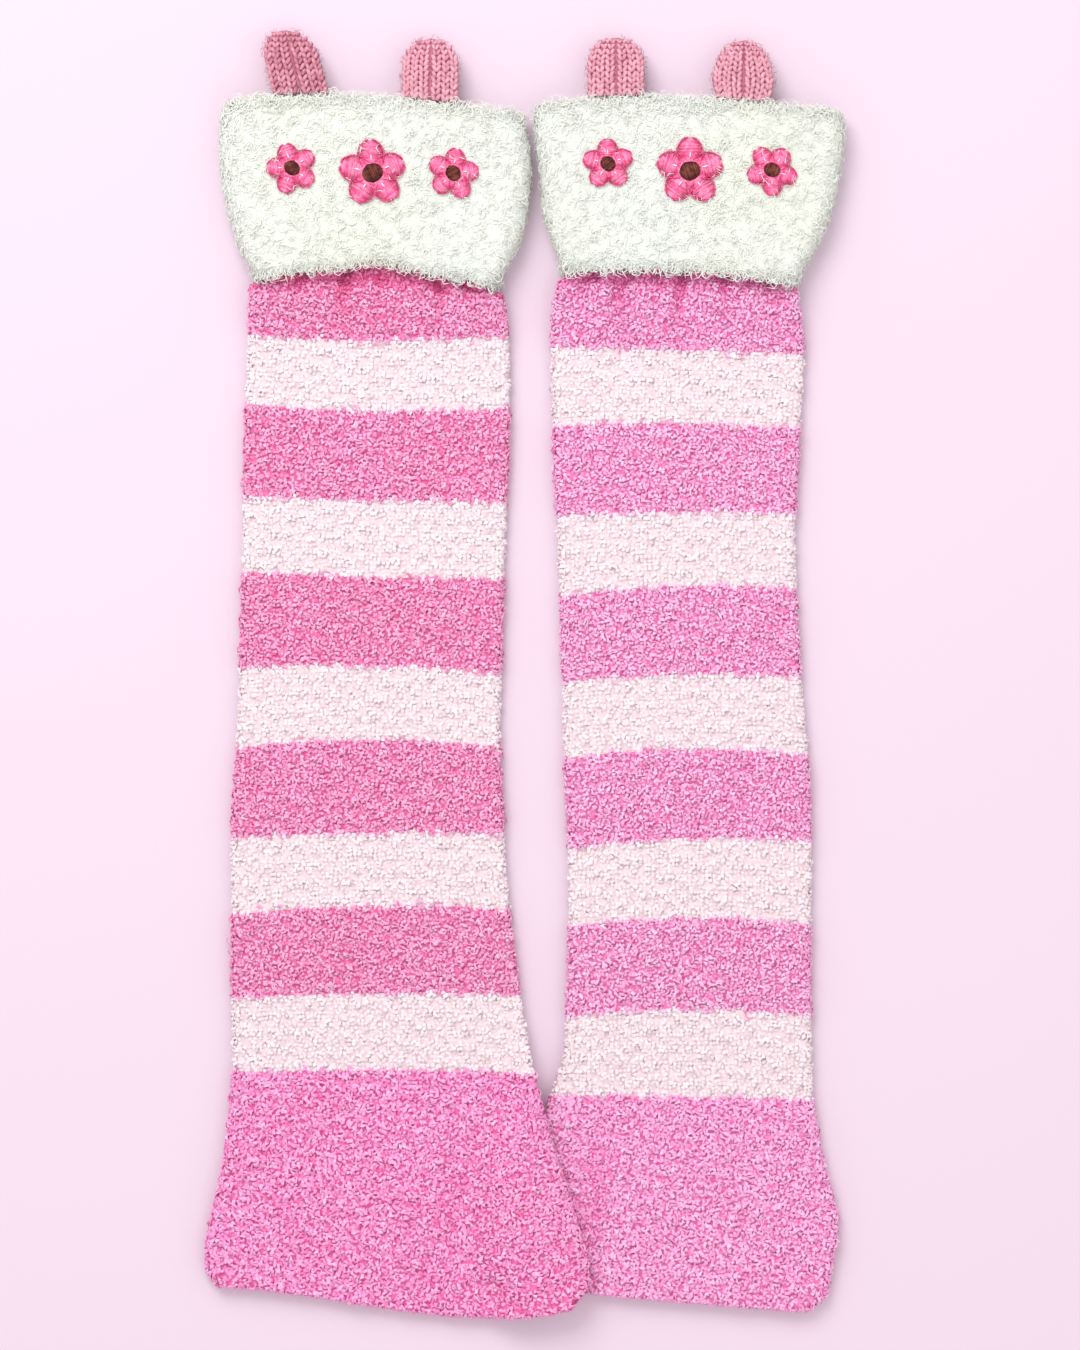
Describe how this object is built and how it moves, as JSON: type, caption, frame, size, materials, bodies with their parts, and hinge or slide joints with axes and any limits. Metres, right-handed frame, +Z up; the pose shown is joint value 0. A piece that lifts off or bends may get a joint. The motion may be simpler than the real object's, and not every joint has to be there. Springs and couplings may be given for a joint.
{
  "type": "pair of leg warmers",
  "caption": "Fluffy striped knitted leg warmers laid flat, with plush turned-down cuffs and small knitted ears, for warming the lower legs.",
  "frame": {"origin": "on the floor under the middle of the pair's overall box", "axes": "+Z up from the floor the pair lies on, +Y along the legs towards the cuffs and ears, +X to the right of a viewer who looks down with the cuffs at the top"},
  "size_m": [0.2437, 0.4898, 0.0145],
  "materials": {
    "pink_yarn": "fluffy",
    "cream_plush": "plush",
    "ear_knit": "knitted",
    "pale_yarn": "fluffy",
    "thread_pink": "satin stitch",
    "thread_brown": "satin stitch",
    "thread_white": "satin stitch"
  },
  "bodies": {
    "root": {"leg_left": "pink_yarn", "leg_right": "pink_yarn", "cuff_left": "cream_plush", "cuff_right": "cream_plush", "ear_left_outer": "ear_knit", "ear_left_inner": "ear_knit", "ear_right_inner": "ear_knit", "ear_right_outer": "ear_knit"}
  },
  "joints": []
}
